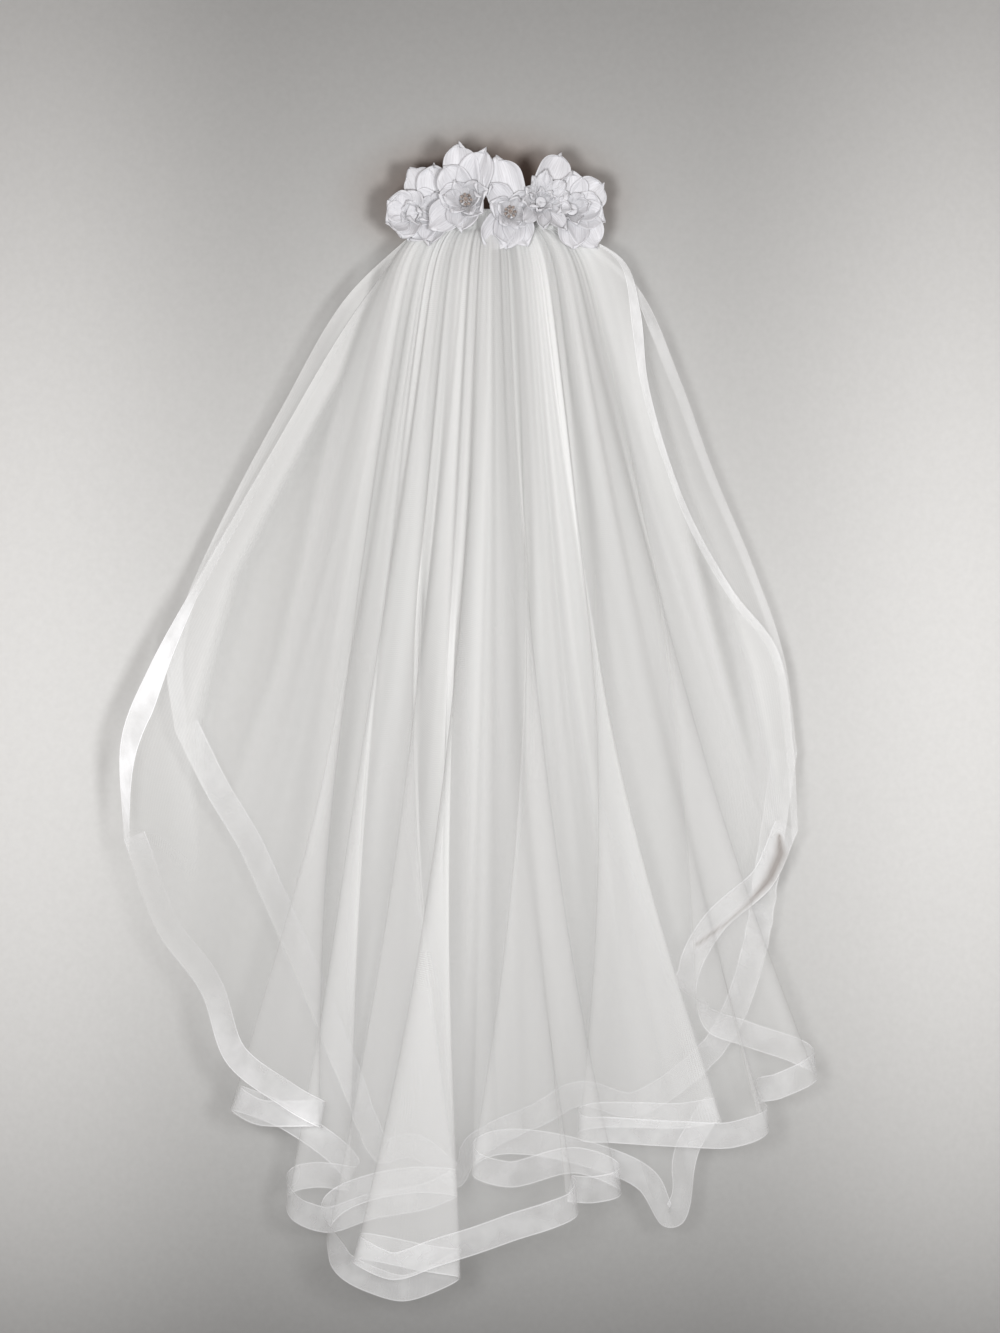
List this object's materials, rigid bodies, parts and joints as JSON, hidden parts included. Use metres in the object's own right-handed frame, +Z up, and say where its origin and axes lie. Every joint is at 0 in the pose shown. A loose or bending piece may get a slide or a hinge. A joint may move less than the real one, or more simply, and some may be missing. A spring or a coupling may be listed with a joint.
{
  "type": "bridal veil on a hair comb",
  "caption": "Sheer two-tier bridal veil hanging from a hair comb, with ribbon edges, deep folds and fabric flowers over the gathers.",
  "frame": {"origin": "middle of the comb's bar, where the veil is held", "axes": "+Z up as the veil hangs, -Y towards the front, +X to the right seen from the front"},
  "size_m": [0.4405, 0.1277, 0.7144],
  "materials": {
    "tulle": "sheer net",
    "satin_ribbon": "satin",
    "organza_petals": "satin",
    "comb_plastic": "clear",
    "rhinestones": "foiled glass"
  },
  "bodies": {
    "root": {"long_tier": "tulle", "long_tier_ribbon": "satin_ribbon", "short_tier": "tulle", "short_tier_ribbon": "satin_ribbon", "hair_comb": "comb_plastic", "flower_centre_left": "organza_petals", "flower_centre_right": "organza_petals", "flower_narrow_petals": "organza_petals", "flower_left": "organza_petals", "flower_right": "organza_petals", "bud_left": "organza_petals", "rhinestone_centre_left": "rhinestones", "rhinestone_centre_right": "rhinestones"}
  },
  "joints": []
}
